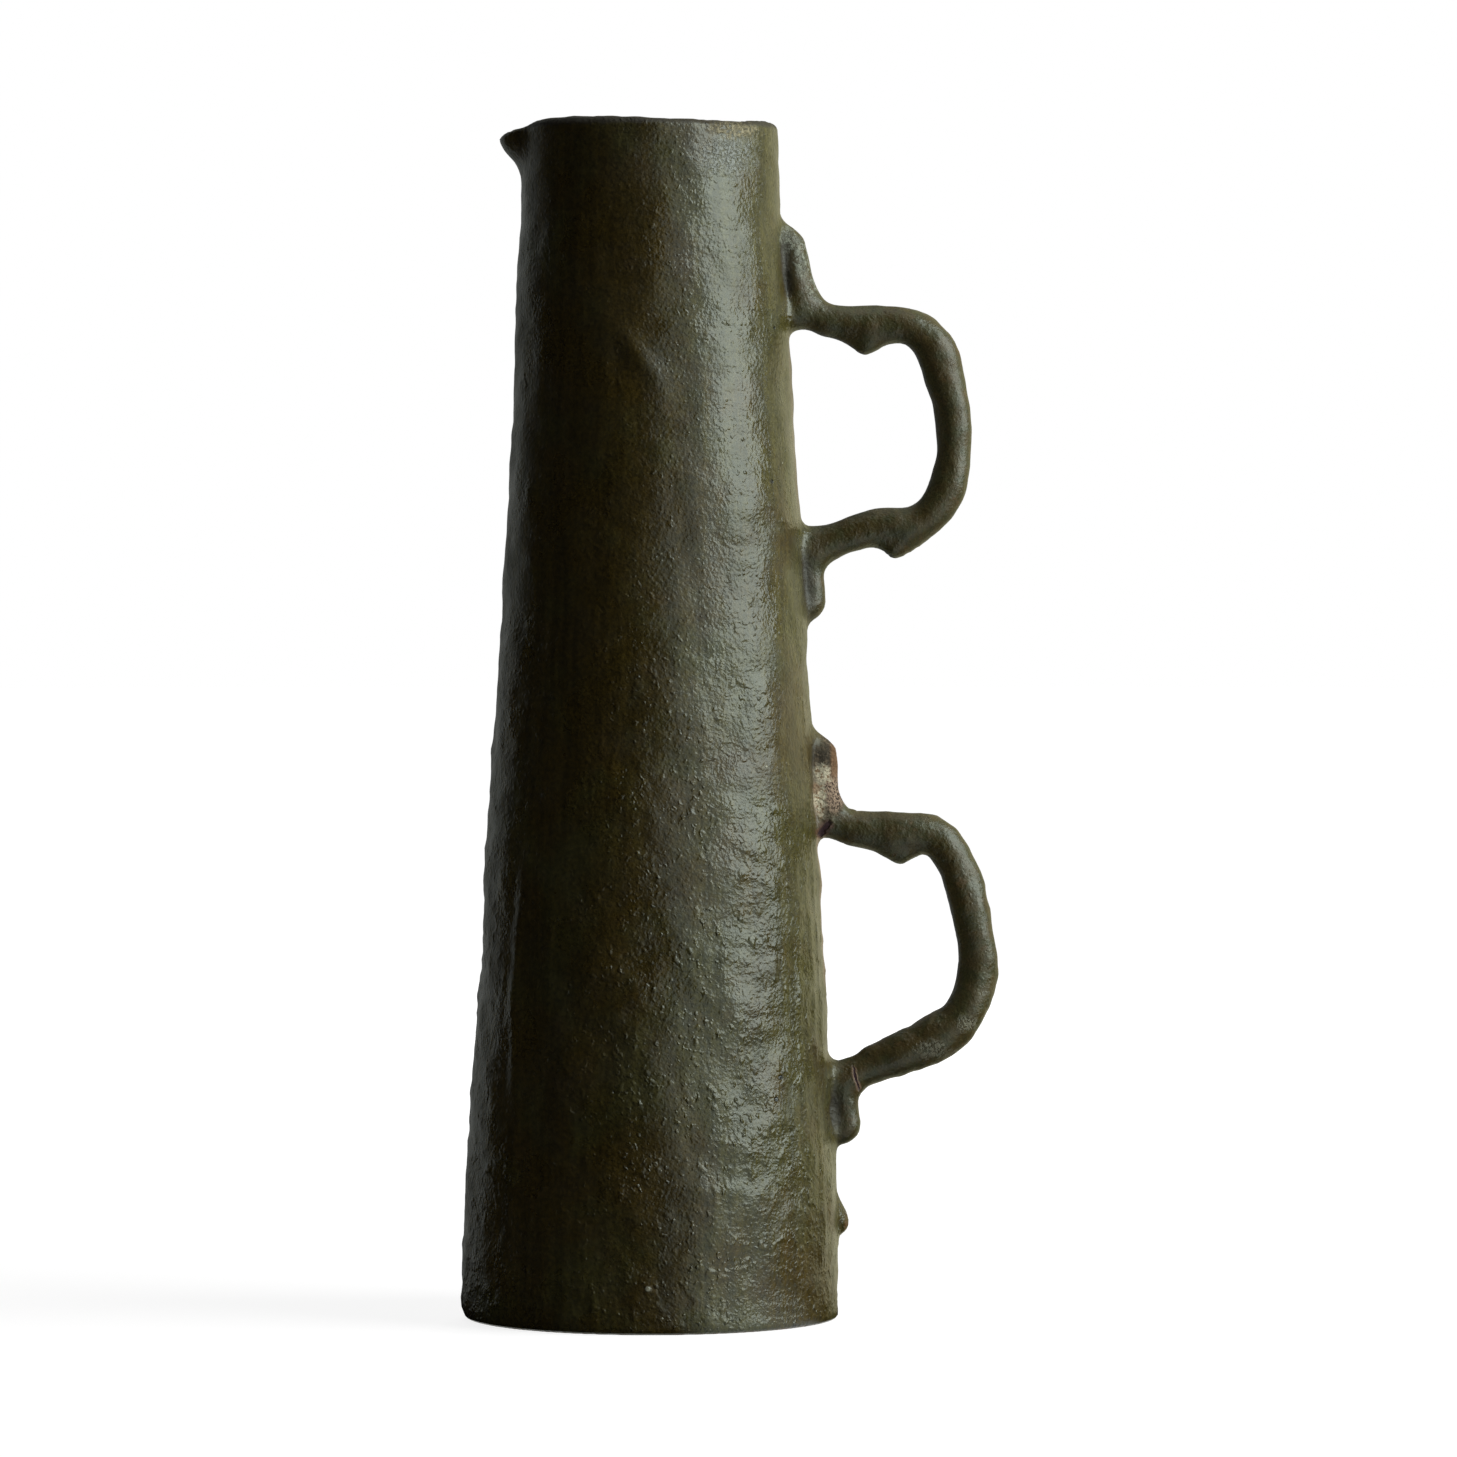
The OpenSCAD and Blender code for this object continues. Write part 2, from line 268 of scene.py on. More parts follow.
class Twig:
    """A handle's coil: its middle line, its radius along it, and its thorns."""

    def __init__(self, body, coils, handle, low_thorn=None, seed=0.0):
        low = -handle.grip - handle.slope
        corners = np.array([
            (coils.end_seat, coils.lap_up),
            (handle.knee, 0.4 * coils.radius),
            (handle.knee + coils.knee_bend, 0),
            (handle.arm, 0),
            (handle.reach, -0.59 * handle.grip),
            (handle.low_arm, -handle.grip),
            (handle.low_arm - coils.knee_bend, low),
            (handle.heel, low - coils.heel_drop),
            (handle.heel, low - coils.heel_drop - coils.lap_down),
        ])
        self.fills = [self.on_wall(body, handle, coils.fill_seat, 0.7 * coils.radius),
                      self.on_wall(body, handle, coils.fill_seat,
                                   corners[7][1] + 0.4 * coils.radius - handle.slope / 4)]
        self.smears = [self.on_wall(body, handle, -0.0010, coils.lap_up - 0.0010),
                       self.on_wall(body, handle, -0.0022, corners[8][1] + 0.0030)]
        thorns = [self.on_wall(body, handle, handle.thorn, 0)]
        if low_thorn:
            thorns.append(self.on_wall(body, handle, low_thorn, -handle.grip))
        line = rounded(np.array([self.on_wall(body, handle, *c) for c in corners]))
        # the round ends reach the corners, so the line itself stops a radius short
        for end, inner in ((0, 1), (-1, -2)):
            away = line[inner] - line[end]
            line[end] += away * 0.8 * coils.radius / np.linalg.norm(away)
        along = np.linspace(0, 1, len(line))
        full = 1 + handle.swell * np.sin(2 * np.pi * along) ** 2 * (0.6 + 0.8 * along)
        taper = coils.end_share + (1 - coils.end_share) * ease(3.2 * np.minimum(along, 1 - along))
        self.radii = coils.radius * taper * full
        self.line = line
        steps_long = np.linalg.norm(np.diff(line, axis=0), axis=1)
        self.reached = np.concatenate([[0], np.cumsum(steps_long)])
        wander = [noise.noise(Vector((s * 22, seed, 0.5))) for s in self.reached]
        free = ease(np.minimum(self.reached, self.reached[-1] - self.reached) / 0.05)
        self.sideways = 2 * coils.sway * np.array(wander) * free
        self.fill_radius = coils.radius * 0.92
        self.thorn_height = coils.thorn_height * handle.thorn_share
        self.thorn_half = coils.thorn_half * (0.3 + 0.7 * handle.thorn_share)
        self.thorn_round = coils.thorn_round
        self.thorn_places = [
            self.reached[np.argmin(np.linalg.norm(line - t, axis=1))] for t in thorns]
        self.thorn_roots = thorns

    @staticmethod
    def on_wall(body, handle, out, up):
        """A place given as distance from the wall and height from the top arm."""
        z = handle.top + up
        return np.array([body_radius(body, z) + out, z])

    def nearest(self, p):
        """For each point: distance from the middle line, way along it, radius, and how far down it lies."""
        middle = np.column_stack([self.line[:, 0], self.sideways, self.line[:, 1]])
        a, d = middle[:-1], np.diff(middle, axis=0)
        t = ((p[:, None, :] - a) * d).sum(2) / (d * d).sum(1)
        t = np.clip(t, 0, 1)
        gap = p[:, None, :] - (a + t[..., None] * d)
        apart = np.sqrt((gap * gap).sum(2))
        best = apart.argmin(1)
        rows = np.arange(len(p))
        t, apart, gap = t[rows, best], apart[rows, best], gap[rows, best]
        way = self.reached[best] + t * (self.reached[best + 1] - self.reached[best])
        radius = self.radii[best] * (1 - t) + self.radii[best + 1] * t
        under = np.maximum(0, -gap[:, 2] / np.maximum(apart, 1e-6))
        return apart, way, radius, under

    def thorn(self, way, under):
        """Height of the thorns over the coil: pinched, with hollow flanks."""
        height = np.zeros(len(way))
        for place in self.thorn_places:
            off = np.sqrt((way - place) ** 2 + self.thorn_round ** 2) - self.thorn_round
            side = np.clip(1 - off / self.thorn_half, 0, 1)
            height = np.maximum(height, side ** 2 * under ** 5)
        return height

    def field(self, p):
        apart, way, radius, under = self.nearest(p)
        return apart - radius - self.thorn_height * self.thorn(way, under)


class Clay:
    """The pitcher's surface as one formula: negative inside the clay, positive outside."""

    def __init__(self, pitcher):
        self.sizes = pitcher
        self.twigs = [
            Twig(pitcher.body, pitcher.coils, pitcher.upper, pitcher.upper.low_thorn, seed=1.3),
            Twig(pitcher.body, pitcher.coils, pitcher.lower, seed=6.1),
        ]
        drop, body = pitcher.drop, pitcher.body
        low, high = drop.low + drop.radius, drop.low + drop.length
        self.drop_low = np.array([body_radius(body, low) - drop.sink, 0, low])
        self.drop_high = np.array([body_radius(body, high) - drop.sink - drop.radius * 0.66, 0, high])

    def drop_radius(self, t):
        """Radius of the drop: full at its low end, nearly nothing at its high end."""
        return self.sizes.drop.radius * (1 - ease(t) * 0.92)

    def unpulled(self, p):
        """Where a point of the lip was before the lip was pulled: radius and height."""
        body, lip = self.sizes.body, self.sizes.lip
        side = lip_share(lip, p[:, 0], p[:, 1])
        lip_from = body.height - lip.length
        up = np.maximum(0, (p[:, 2] - lip_from) / (lip.length - lip.fall * side))
        z = np.where(up > 0, lip_from + lip.length * up, p[:, 2])
        return np.hypot(p[:, 0], p[:, 1]) - lip.reach * side * ease(up), z

    def wall(self, p):
        body = self.sizes.body
        half = body.wall / 2
        rho, z = self.unpulled(p)
        crest = body.height - half
        off = rho - (body_radius(body, np.minimum(z, crest)) - half)
        hollow = soft_max(off + half, body.floor - z, body.floor_round * 1.6)
        wall = np.where(z > crest, np.hypot(off, z - crest) - half, np.maximum(off - half, -hollow))
        return soft_max(wall, -p[:, 2], body.foot_round * 1.4)

    def field(self, p):
        coils, skin = self.sizes.coils, self.sizes.skin
        clay = self.wall(p)
        near = by_handles(self.sizes, p, 0.8, 4)
        q = p[near]
        local = clay[near]
        for twig in self.twigs:
            local = soft_min(local, twig.field(q), skin.crease)
            for x, z in twig.fills:
                local = soft_min(local, ball(q, x, z, twig.fill_radius), skin.press)
            for x, z in twig.smears:
                local = soft_min(local, ball(q, x, z, coils.smear, 0.8), skin.smear)
        axis = self.drop_high - self.drop_low
        t = np.clip((q - self.drop_low) @ axis / (axis @ axis), 0, 1)
        apart = np.linalg.norm(q - (self.drop_low + t[:, None] * axis), axis=1)
        local = soft_min(local, apart - self.drop_radius(t), skin.crease)
        clay[near] = local
        return clay

    def slope(self, p, step=2e-5):
        """The field and its direction of growth."""
        f = self.field(p)
        g = np.empty_like(p)
        for i in range(3):
            q = p.copy()
            q[:, i] += step
            g[:, i] = (self.field(q) - f) / step
        return f, g

    def settle(self, p, rounds=3, reach=0.002):
        """Moves points onto the surface."""
        for _ in range(rounds):
            f, g = self.slope(p)
            move = g * (f / np.maximum((g * g).sum(1), 0.05))[:, None]
            size = np.linalg.norm(move, axis=1, keepdims=True)
            p = p - move * np.minimum(1, reach / np.maximum(size, 1e-9))
        return p


# The mesh


def added(name, data):
    """A new object in the scene."""
    obj = bpy.data.objects.new(name, data)
    bpy.context.scene.collection.objects.link(obj)
    return obj


def loft(bm, rings):
    """Skins rings of the same number of points and closes both ends."""
    rows = [[bm.verts.new(p) for p in ring] for ring in rings]
    for low, high in zip(rows, rows[1:]):
        for i in range(len(low)):
            j = (i + 1) % len(low)
            bm.faces.new((low[i], low[j], high[j], high[i]))
    bm.faces.new(reversed(rows[0]))
    bm.faces.new(rows[-1])


def rough_body(bm, pitcher, columns=96):
    """The wall, floor, rim and pulled lip as one turned shell."""
    body, lip = pitcher.body, pitcher.lip
    half = body.wall / 2
    outer = np.linspace(0, body.height - half, 40)
    rim = np.linspace(0, np.pi, 7)[1:-1]
    inner = np.linspace(body.height - half, body.floor, 36)
    top = body_radius(body, body.height - half) - half
    section = [(body_radius(body, z), z) for z in outer]
    section += [(top + half * math.cos(a), body.height - half + half * math.sin(a)) for a in rim]
    section += [(body_radius(body, z) - body.wall, z) for z in inner]
    angles = np.linspace(0, 2 * np.pi, columns, endpoint=False)
    side = lip_share(lip, np.cos(angles), np.sin(angles))
    rings = []
    for r, z in section:
        up = max(0, z - body.height + lip.length) / lip.length
        reach = r + lip.reach * side * ease(up)
        rings.append(np.column_stack([reach * np.cos(angles), reach * np.sin(angles),
                                      z - lip.fall * side * up]))
    loft(bm, rings)


def rough_twig(bm, twig, coils, sides=20):
    """A coil along its line, with a cone for each thorn."""
    turn = np.linspace(0, 2 * np.pi, sides, endpoint=False)
    rings = []
    count = len(twig.line)
    ends = [0.35, 0.8]
    for i, (x, z) in enumerate(twig.line):
        ahead = twig.line[min(i + 1, count - 1)] - twig.line[max(i - 1, 0)]
        ahead /= np.linalg.norm(ahead)
        r = twig.radii[i]
        tip = min(i, count - 1 - i)
        places = [(np.array([x, z]), 1.0)]
        if tip == 0:
            out = -ahead if i == 0 else ahead
            places = [(np.array([x, z]) + out * r * math.sqrt(1 - e * e), e) for e in ends]
            places = places + [(np.array([x, z]), 1.0)]
            if i:
                places = places[::-1]
        for place, grown in places:
            rings.append(np.column_stack([
                place[0] + r * grown * np.cos(turn) * ahead[1],
                r * grown * np.sin(turn) + twig.sideways[i],
                place[1] - r * grown * np.cos(turn) * ahead[0]]))
    loft(bm, rings)
    for x, z in twig.thorn_roots:
        made = bmesh.ops.create_cone(bm, cap_ends=True, segments=16, radius1=coils.thorn_half * 0.5,
                                     radius2=0.0004, depth=coils.radius + twig.thorn_height)
        middle = (coils.radius + twig.thorn_height) / 2
        for v in made["verts"]:
            v.co = Vector((v.co.x + x, v.co.y * 0.6, z - middle - v.co.z))
    lumps = [(place, twig.fill_radius) for place in twig.fills]
    lumps += [(place, coils.smear) for place in twig.smears]
    for (x, z), size in lumps:
        made = bmesh.ops.create_icosphere(bm, subdivisions=3, radius=size)
        for v in made["verts"]:
            v.co += Vector((x, 0, z))


def rough_drop(bm, clay, drop):
    """The drop of clay on the wall near the foot, as a chain of rings."""
    turn = np.linspace(0, 2 * np.pi, 20, endpoint=False)
    axis = clay.drop_high - clay.drop_low
    ahead = axis / np.linalg.norm(axis)
    across = np.array([ahead[2], 0, -ahead[0]])
    rings = []
    for t, grown in [(-0.98, 0.2), (-0.85, 0.55), (-0.5, 0.87)]:
        rings.append((clay.drop_low + ahead * drop.radius * t, drop.radius * grown))
    for t in np.linspace(0, 1, 8):
        rings.append((clay.drop_low + axis * t, clay.drop_radius(t)))
    loft(bm, [c + r * (np.outer(np.cos(turn), across) + np.outer(np.sin(turn), (0, 1, 0)))
              for c, r in rings])


def remeshed(bm, grain):
    """The outside of all the overlapping shells, as one even mesh."""
    bmesh.ops.recalc_face_normals(bm, faces=bm.faces)
    mesh = bpy.data.meshes.new("rough_pitcher")
    bm.to_mesh(mesh)
    bm.free()
    rough = added("rough_pitcher", mesh)
    even = rough.modifiers.new("Even mesh", "REMESH")
    even.mode = "VOXEL"
    even.voxel_size = grain
    return rough


def baked(obj, name):
    """A new mesh with the object's modifiers applied; the object goes."""
    made = bpy.data.meshes.new_from_object(obj.evaluated_get(bpy.context.evaluated_depsgraph_get()))
    made.name = name
    old = obj.data
    bpy.data.objects.remove(obj)
    bpy.data.meshes.remove(old)
    return made


def finer(mesh, places, reach):
    """Splits the edges near some places once."""
    bm = bmesh.new()
    bm.from_mesh(mesh)
    near = {v for v in bm.verts if any((v.co - place).length < reach for place in places)}
    edges = [e for e in bm.edges if e.verts[0] in near and e.verts[1] in near]
    bmesh.ops.subdivide_edges(bm, edges=edges, cuts=1, use_grid_fill=True)
    bm.to_mesh(mesh)
    bm.free()


def places_of(mesh):
    flat = np.empty(len(mesh.vertices) * 3)
    mesh.vertices.foreach_get("co", flat)
    return flat.reshape(-1, 3)


def put_places(mesh, places):
    mesh.vertices.foreach_set("co", places.ravel())
    mesh.update()


def evened(mesh, places, strength=0.5):
    """Each point drawn towards the middle of its neighbours."""
    edges = np.empty(len(mesh.edges) * 2, np.int32)
    mesh.edges.foreach_get("vertices", edges)
    a, b = edges.reshape(-1, 2).T
    count = np.bincount(np.concatenate([a, b]), minlength=len(places))
    middle = np.column_stack([
        np.bincount(np.concatenate([a, b]), np.concatenate([places[b, i], places[a, i]]), len(places))
        for i in range(3)]) / count[:, None]
    return places + strength * (middle - places)


def waves(points, size, seed):
    """Smooth noise between -1 and 1, its waves about as long as size."""
    scaled = points / size + seed
    return np.array([noise.noise(Vector(p)) for p in scaled])


def band(z, low, high, soft):
    """1 between two heights, fading over soft."""
    return ease((z - low) / soft + 0.5) * ease((high - z) / soft + 0.5)


def fold_and_runs(p, rho, on_wall):
    """A slanting fold high on the front, a long run of glaze on the left and three low on the right."""
    x, y, z = p.T
    front = ease(-y / 0.02) * on_wall
    fold_x, fold_z = -0.0044, 0.385
    level, rise = 0.79, 0.61
    across = (x - fold_x) * level + (z - fold_z) * rise
    up = (z - fold_z) * level - (x - fold_x) * rise
    lift = 0.0015 * front * np.exp(-(across / 0.0042) ** 2 - (up / 0.011) ** 2)
    lift -= 0.0010 * front * np.exp(-((across + 0.010) / 0.008) ** 2 - (up / 0.014) ** 2)
    angle = np.arctan2(x, -y)
    run = (angle + math.radians(48.5)) * rho + 0.0014 * np.sin(z * 60) + 0.0006 * np.sin(z * 210)
    lift += 0.0013 * on_wall * np.exp(-(run / 0.0036) ** 2) * band(z, 0.092, 0.182, 0.03)
    for turn, low_end, high_end in ((58, 0.075, 0.200), (67, 0.030, 0.165), (74, 0.100, 0.260)):
        run = (angle - math.radians(turn)) * rho + 0.0010 * np.sin(z * 55 + turn)
        lift += 0.0004 * on_wall * np.exp(-(run / 0.0015) ** 2) * band(z, low_end, high_end, 0.04)
    return lift


def hand_made(pitcher, p, normal):
    """The unevenness of hand building, as moved points."""
    skin, body = pitcher.skin, pitcher.body
    z = p[:, 2]
    rho = np.hypot(p[:, 0], p[:, 1])
    outside = ease((rho - body_radius(body, z) + body.wall * 0.7) / (body.wall * 0.4))
    above = ease(z / 0.006)
    on_wall = np.exp(-(np.maximum(0, rho - body_radius(body, z) - 0.001) / 0.003) ** 2)
    low = ease((0.33 - z) / 0.20)

    lift = skin.swell * waves(p * (1, 1, 0.6), 0.048, 3.1) * above
    lift += skin.lump * waves(p, 0.016, 8.4) * (0.45 + 0.75 * low) * above * (0.3 + 0.7 * outside)
    lift += skin.wave * waves(p, 0.028, 12.7) * above * outside
    tilt = np.array(Euler((0.5, 0.6, 0.7)).to_matrix())
    lift += skin.dimple * waves(p * (1, 1, 1.5) @ tilt, 0.0105, 6.3) * above * outside * on_wall
    shown = np.flatnonzero(outside * above > 0.02)
    small = np.zeros(len(p))
    small[shown] = np.maximum(0, waves(p[shown] @ tilt, 0.0052, 5.2) + 0.02) ** 1.3
    lift += skin.pebble * small * (0.3 + 1.1 * low) * outside * above
    coil = 1 - on_wall
    knots = np.flatnonzero(coil > 0.05)
    roll = np.zeros(len(p))
    roll[knots] = waves(p[knots], 0.013, 2.7) + 0.45 * waves(p[knots], 0.006, 9.1)
    lift += skin.roll * roll * coil
    lift += fold_and_runs(p, rho, on_wall)

    moved = p + normal * lift[:, None]
    crest = ease((z - body.height + 0.012) / 0.012)
    uneven = waves(p * (1, 1, 0.05), 0.023, 4.6) + 0.35 * waves(p * (1, 1, 0.05), 0.008, 1.3)
    moved[:, 2] += skin.rim * crest * uneven
    lean = skin.bow * np.exp(-((z - 0.325) / 0.07) ** 2) - skin.neck_lean * ease((z - 0.38) / 0.09)
    moved[:, 0] += lean
    return moved


def thin_glaze(pitcher, clay, p):
    """How thin the glaze lies: over the foot's edge, the thorns, the coils' ends and the drop."""
    body = pitcher.body
    rho, z = clay.unpulled(p)
    thin = 0.35 * ease((0.0030 - p[:, 2]) / 0.0025) * ease((rho - body.foot_radius + 0.006) / 0.003)
    near = by_handles(pitcher, p)
    for twig in clay.twigs:
        apart, way, radius, under = twig.nearest(p[near])
        touch = ease(1.4 - (apart - radius) / 0.004)
        thorn = 0.55 * ease(twig.thorn(way, under) * 2.2)
        ends = np.minimum(way, twig.reached[-1] - way)
        end = 0.5 * ease(1 - (ends - 0.002) / 0.010) * ease((apart - radius * 0.55) / 0.002)
        thin[near] = np.maximum(thin[near], np.maximum(thorn, end) * touch)
    low, high = clay.drop_low[2] - 0.006, clay.drop_high[2]
    off = rho - body_radius(body, z)
    drop = ease(off / 0.002 - 0.4) * band(z, low, low + 0.012, 0.006)
    small = (np.abs(p[:, 1]) < 0.009) & (p[:, 0] > 0) & (z < high)
    return np.where(small, np.maximum(thin, 0.8 * drop), thin)


def in_crease(pitcher, clay, p):
    """1 where a coil meets the wall, 0 elsewhere; the glaze paints shade there."""
    crease = np.zeros(len(p))
    near = by_handles(pitcher, p)
    wall = np.abs(clay.wall(p[near]))
    for twig in clay.twigs:
        depth = wall + np.abs(twig.field(p[near]))
        crease[near] = np.maximum(crease[near], ease(1.25 - depth / 0.0048))
    return crease


def on_coil(pitcher, p):
    """1 on the handles, 0 on the wall."""
    rho = np.hypot(p[:, 0], p[:, 1])
    off = rho - body_radius(pitcher.body, p[:, 2])
    return ease((off - 0.0015) / 0.003) * (p[:, 0] > 0) * (p[:, 2] > 0.07)


def build_pitcher(pitcher):
    """The whole fired piece as a mesh, with its marks for the glaze."""
    clay = Clay(pitcher)
    bm = bmesh.new()
    rough_body(bm, pitcher)
    for twig in clay.twigs:
        rough_twig(bm, twig, pitcher.coils)
    rough_drop(bm, clay, pitcher.drop)
    mesh = baked(remeshed(bm, pitcher.skin.grain), "glazed_pitcher")

    p = clay.settle(places_of(mesh), 3)
    for _ in range(3):
        p = clay.settle(evened(mesh, p), 1)
    put_places(mesh, p)

    # fewer faces where few look: the inner wall and the underside
    obj = added("glazed_pitcher", mesh)
    body = pitcher.body
    rho, z = clay.unpulled(p)
    deep = (rho < body_radius(body, z) - body.wall * 0.8) & (z < body.height - 0.025)
    under = (z < 0.0004) & (rho < body.foot_radius - 0.006)
    plain = obj.vertex_groups.new(name="plain")
    plain.add([int(i) for i in np.flatnonzero(deep | under)], 1.0, "REPLACE")
    hidden = (deep | under).mean()
    fewer = obj.modifiers.new("Fewer faces inside", "DECIMATE")
    fewer.vertex_group = "plain"
    fewer.ratio = 1 - hidden * (1 - pitcher.skin.inside)
    mesh = baked(obj, "glazed_pitcher")

    tips = [Vector((x, 0, z - pitcher.coils.radius)) for twig in clay.twigs for x, z in twig.thorn_roots]
    finer(mesh, tips, pitcher.coils.thorn_half * 1.3)
    p = clay.settle(places_of(mesh), 2, reach=0.0006)
    f, g = clay.slope(p)
    normal = g / np.maximum(np.linalg.norm(g, axis=1, keepdims=True), 1e-9)
    coil = on_coil(pitcher, p)
    worn = 0.5 * coil * ease((normal[:, 0] - 0.78) / 0.18)
    marks = {"thin": np.maximum(thin_glaze(pitcher, clay, p), worn), "coil": coil,
             "crease": in_crease(pitcher, clay, p)}
    put_places(mesh, hand_made(pitcher, p, normal))
    for name, values in marks.items():
        mark = mesh.attributes.new(name, "FLOAT", "POINT")
        mark.data.foreach_set("value", values.astype(np.float32))
    mesh.shade_smooth()
    return added("glazed_pitcher", mesh)


# Shader nodes


class Value:
    """A socket of a node tree. Arithmetic with it places math nodes."""

    def __init__(self, nodes, socket):
        self.nodes, self.socket = nodes, socket

    def __add__(self, other):
        return self.nodes.math("ADD", self, other)

    def __sub__(self, other):
        return self.nodes.math("SUBTRACT", self, other)

    def __rsub__(self, other):
        return self.nodes.math("SUBTRACT", other, self)

    def __mul__(self, other):
        return self.nodes.math("MULTIPLY", self, other)

    def __truediv__(self, other):
        return self.nodes.math("DIVIDE", self, other)

    __radd__ = __add__
    __rmul__ = __mul__


def by_name(values):
    return {value.socket.name: value for value in values}


class Nodes:
    """A short way to place and join the nodes of one tree."""

    def __init__(self, tree):
        self.tree = tree
        tree.nodes.clear()

    def feed(self, socket, value):
        if isinstance(value, Value):
            self.tree.links.new(value.socket, socket)
        elif socket.type == "RGBA":
            socket.default_value = (*value[:3], 1)
        else:
            socket.default_value = value

    def place(self, kind, inputs=None, **settings):
        """Places a node and gives its outputs, in order."""
        node = self.tree.nodes.new("ShaderNode" + kind)
        for name, value in settings.items():
            setattr(node, name, value)
        for key, value in (inputs or {}).items():
            self.feed(node.inputs[key], value)
        return [Value(self, socket) for socket in node.outputs]

    def here(self):
        """The place on the object, in metres."""
        return by_name(self.place("TexCoord"))["Object"]

    def mark(self, name):
        """One of the marks that the mesh carries."""
        return by_name(self.place("Attribute", attribute_name=name))["Fac"]

    def split(self, vector):
        return self.place("SeparateXYZ", {0: vector})

    def math(self, operation, *values, clamp=False):
        return self.place("Math", dict(enumerate(values)), operation=operation, use_clamp=clamp)[0]

    def most(self, first, *others):
        """The greatest of some values."""
        for other in others:
            first = self.math("MAXIMUM", first, other)
        return first

    def vector(self, operation, *values, scale=None):
        inputs = dict(enumerate(values))
        if scale is not None:
            inputs["Scale"] = scale
        outputs = by_name(self.place("VectorMath", inputs, operation=operation))
        return outputs["Value" if operation in ("LENGTH", "DOT_PRODUCT") else "Vector"]

    def fade(self, value, low, high, to_low=0.0, to_high=1.0):
        """A smooth change from to_low to to_high as value goes from low to high."""
        return self.place("MapRange", dict(enumerate((value, low, high, to_low, to_high))),
                          interpolation_type="SMOOTHSTEP")[0]

    def noise(self, vector, scale, detail=2.0, rough=0.5, twist=0.0):
        return self.place("TexNoise", {"Vector": vector, "Scale": scale, "Detail": detail,
                                       "Roughness": rough, "Distortion": twist})[0]

    def mix(self, mask, a, b):
        return self.place("Mix", {0: mask, 6: a, 7: b}, data_type="RGBA")[2]

    def bump(self, height):
        return self.place("Bump", {"Height": height, "Distance": 1.0, "Strength": 1.0})[0]


def group(name, inputs, outputs):
    """A new shader node group: its nodes, its inputs by name, and the sockets that it puts out."""
    tree = bpy.data.node_groups.new(name, "ShaderNodeTree")
    for label, kind, default in inputs:
        socket = tree.interface.new_socket(label, in_out="INPUT", socket_type="NodeSocket" + kind)
        if default is not None:
            socket.default_value = default
    for label in outputs:
        tree.interface.new_socket(label, in_out="OUTPUT", socket_type="NodeSocketFloat")
    n = Nodes(tree)
    start = by_name(Value(n, socket) for socket in tree.nodes.new("NodeGroupInput").outputs)
    return n, start, tree.nodes.new("NodeGroupOutput").inputs


def placed(n, name, inputs):
    """One of the groups, placed in a material with its own values: its outputs by name."""
    node = n.tree.nodes.new("ShaderNodeGroup")
    node.node_tree = bpy.data.node_groups[name]
    for key, value in inputs.items():
        n.feed(node.inputs[key], value)
    return by_name(Value(n, socket) for socket in node.outputs)


def make_peel_group():
    """Orange peel: fine grain, small bumps standing on it and wider bumps, as a height in metres."""
    n, start, end = group(
        "Orange peel",
        [("Vector", "Vector", None), ("Size", "Float", 0.0014), ("Grain height", "Float", 0.0003),
         ("Bump height", "Float", 0.0003), ("Wide height", "Float", 0.0004)],
        ["Height", "Crest"])
    turned = n.place("VectorRotate", {"Vector": start["Vector"], "Rotation": (0.5, 0.6, 0.7)},
                     rotation_type="EULER_XYZ")[0]
    scaled = n.vector("DIVIDE", turned, start["Size"])
    patchy = n.fade(n.noise(scaled, 0.09), 0.38, 0.62, 0.35, 1.25)
    crest = n.fade(n.noise(scaled, 0.62, 1.0), 0.55, 0.82)
    wide = n.fade(n.noise(scaled, 0.30, 1.0), 0.54, 0.84)
    bumps = crest * start["Bump height"] + wide * start["Wide height"]
    n.feed(end["Height"], n.noise(scaled, 1.0, 1.0) * start["Grain height"] + bumps * patchy)
    n.feed(end["Crest"], crest)


def make_speck_group():
    """Small scattered spots of uneven size, as a mask and as domes."""
    n, start, end = group(
        "Scattered specks",
        [("Vector", "Vector", None), ("Spacing", "Float", 0.02), ("Size", "Float", 0.0006),
         ("Share", "Float", 0.5), ("Seed", "Float", 0.0), ("Uneven", "Float", 0.2)],
        ["Mask", "Dome"])
    spread = n.vector("DIVIDE", start["Vector"], start["Spacing"])
    bend = n.place("TexNoise", {"Vector": spread, "Scale": 3.2, "Detail": 1.0})[1]
    bent = n.vector("ADD", spread, n.vector("SCALE", bend, scale=start["Uneven"]))
    cells = by_name(n.place("TexVoronoi", {"Vector": n.vector("ADD", bent, start["Seed"]),
                                           "Scale": 1.0, "Randomness": 1.0}))
    chance, growth = n.place("SeparateColor", {0: cells["Color"]})[:2]
    wanted = n.math("LESS_THAN", chance, start["Share"])
    radius = start["Size"] / start["Spacing"] * (growth * 0.9 + 0.45)
    near = n.math("SUBTRACT", 1.0, cells["Distance"] / radius, clamp=True)
    n.feed(end["Mask"], n.fade(near, 0.0, 0.45) * wanted)
    n.feed(end["Dome"], n.fade(near, 0.0, 1.0) * wanted)


